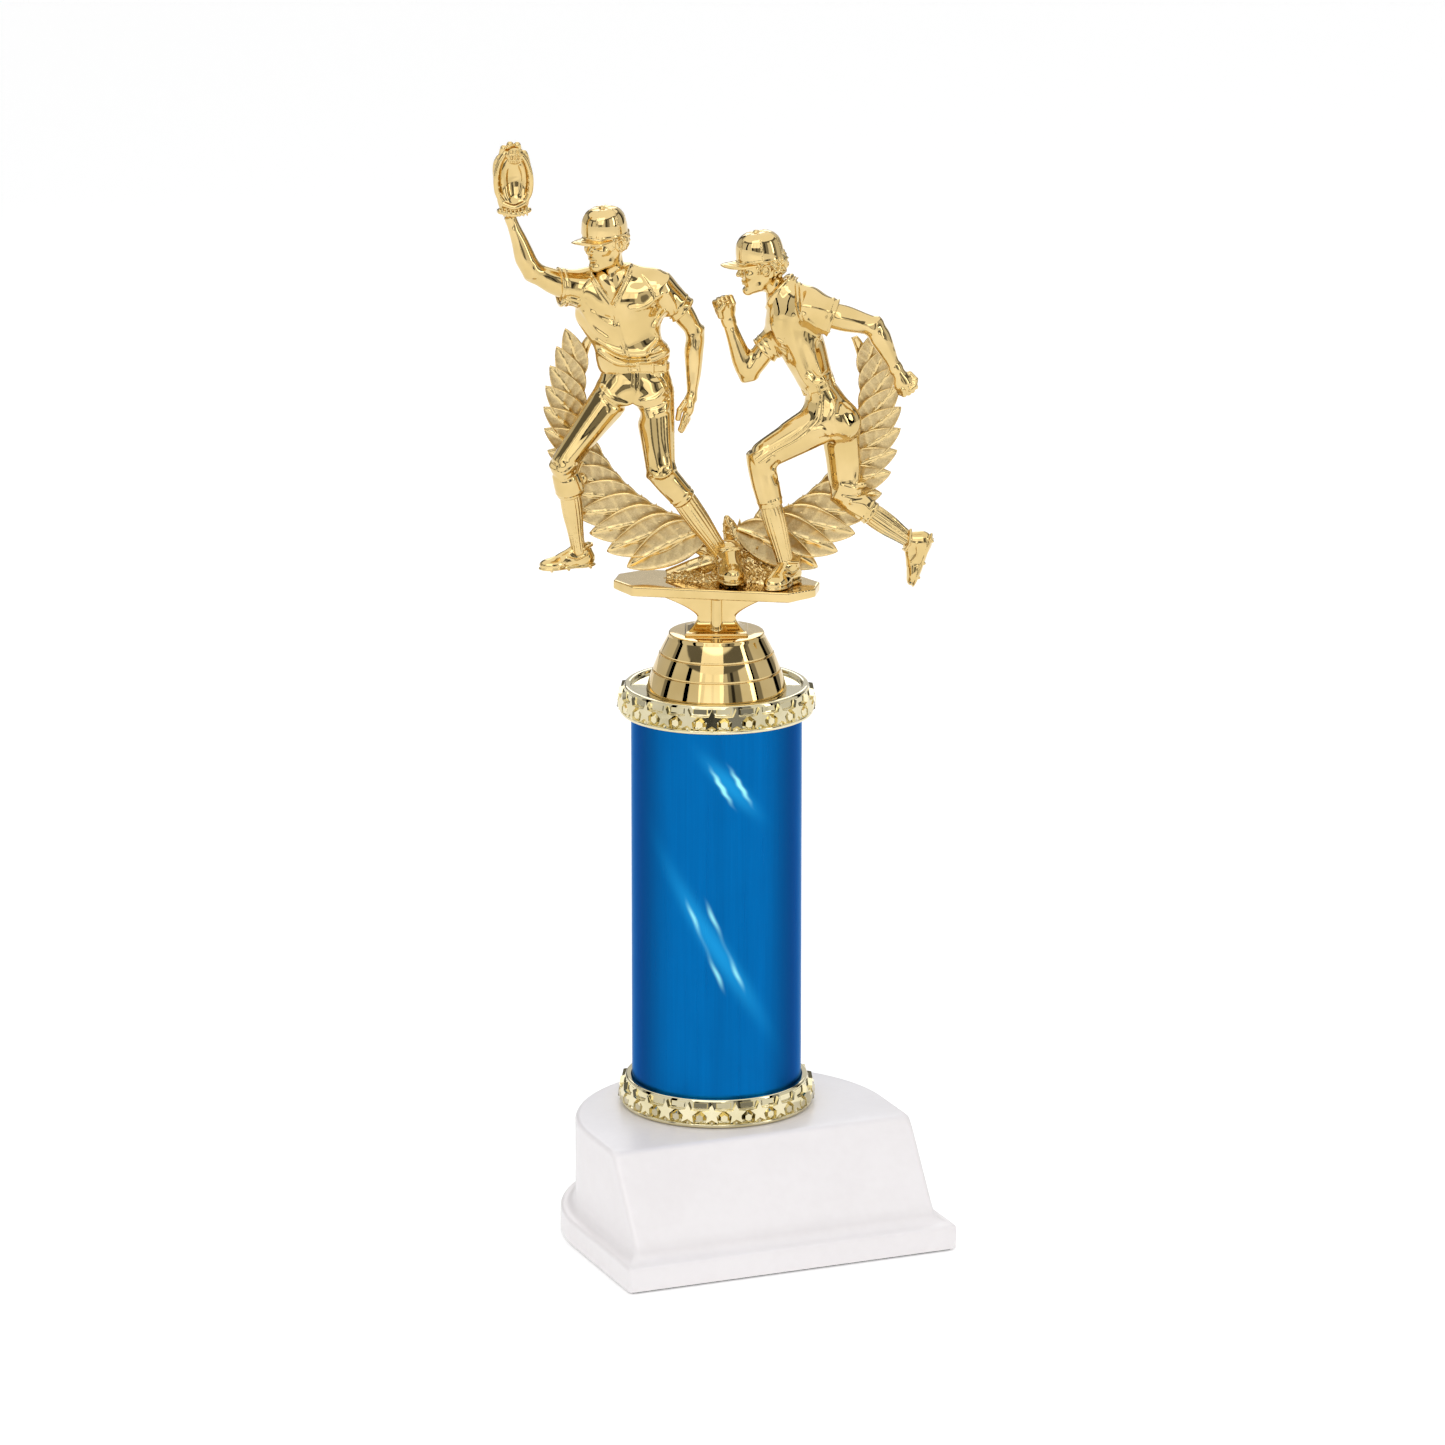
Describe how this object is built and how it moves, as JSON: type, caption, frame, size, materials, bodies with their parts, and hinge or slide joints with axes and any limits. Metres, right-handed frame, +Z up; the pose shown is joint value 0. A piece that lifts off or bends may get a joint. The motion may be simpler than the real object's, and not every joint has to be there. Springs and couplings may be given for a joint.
{
  "type": "column trophy",
  "caption": "Trophy with a film-covered round column between two star-edged rings on a D-shaped base, topped by a stepped riser and a baseball fielder and runner on a leaf wreath.",
  "frame": {"origin": "on the column's axis, on the plane that the felt underside rests on", "axes": "+Z up along the column, -Y out of the base's sloping front, +X to the right of someone who faces that front"},
  "size_m": [0.1087, 0.086, 0.2903],
  "materials": {
    "base_white": "white moulded plastic with a faint marble mottle",
    "weight_iron": "rough casting",
    "board": "plain board",
    "felt": "dark green felt",
    "zinc_steel": "bright zinc plate",
    "pale_gold": "pale gold vacuum-metallised plastic",
    "core_plastic": "extruded tube",
    "blue_film": "brushed metallic blue film with slanting glints",
    "mirror_gold": "warm gold vacuum-metallised plastic, mirror bright",
    "satin_gold": "warm gold vacuum-metallised plastic, sand-blasted texture",
    "insert_brass": "turned"
  },
  "bodies": {
    "stand": {"base_shell": "base_white", "base_weight": "weight_iron", "base_board": "board", "felt_pad": "felt", "check_rod": "zinc_steel", "rod_nut": "zinc_steel", "lock_washer": "zinc_steel", "flat_washer": "zinc_steel", "lower_star_ring": "pale_gold", "column_tube": "core_plastic", "column_film": "blue_film", "upper_star_ring": "pale_gold", "figure_riser": "mirror_gold"},
    "figure": {"figure_insert": "insert_brass", "figure_stand": "mirror_gold", "left_leaf_spray": "satin_gold", "right_leaf_spray": "satin_gold", "fielder": "mirror_gold", "runner": "mirror_gold"}
  },
  "joints": [
    {"name": "figure_turn", "type": "hinge", "parent": "stand", "child": "figure", "pos_m": [0, 0, 0.1586], "axis": [0, 0, 1], "range_deg": [-180, 180]}
  ]
}
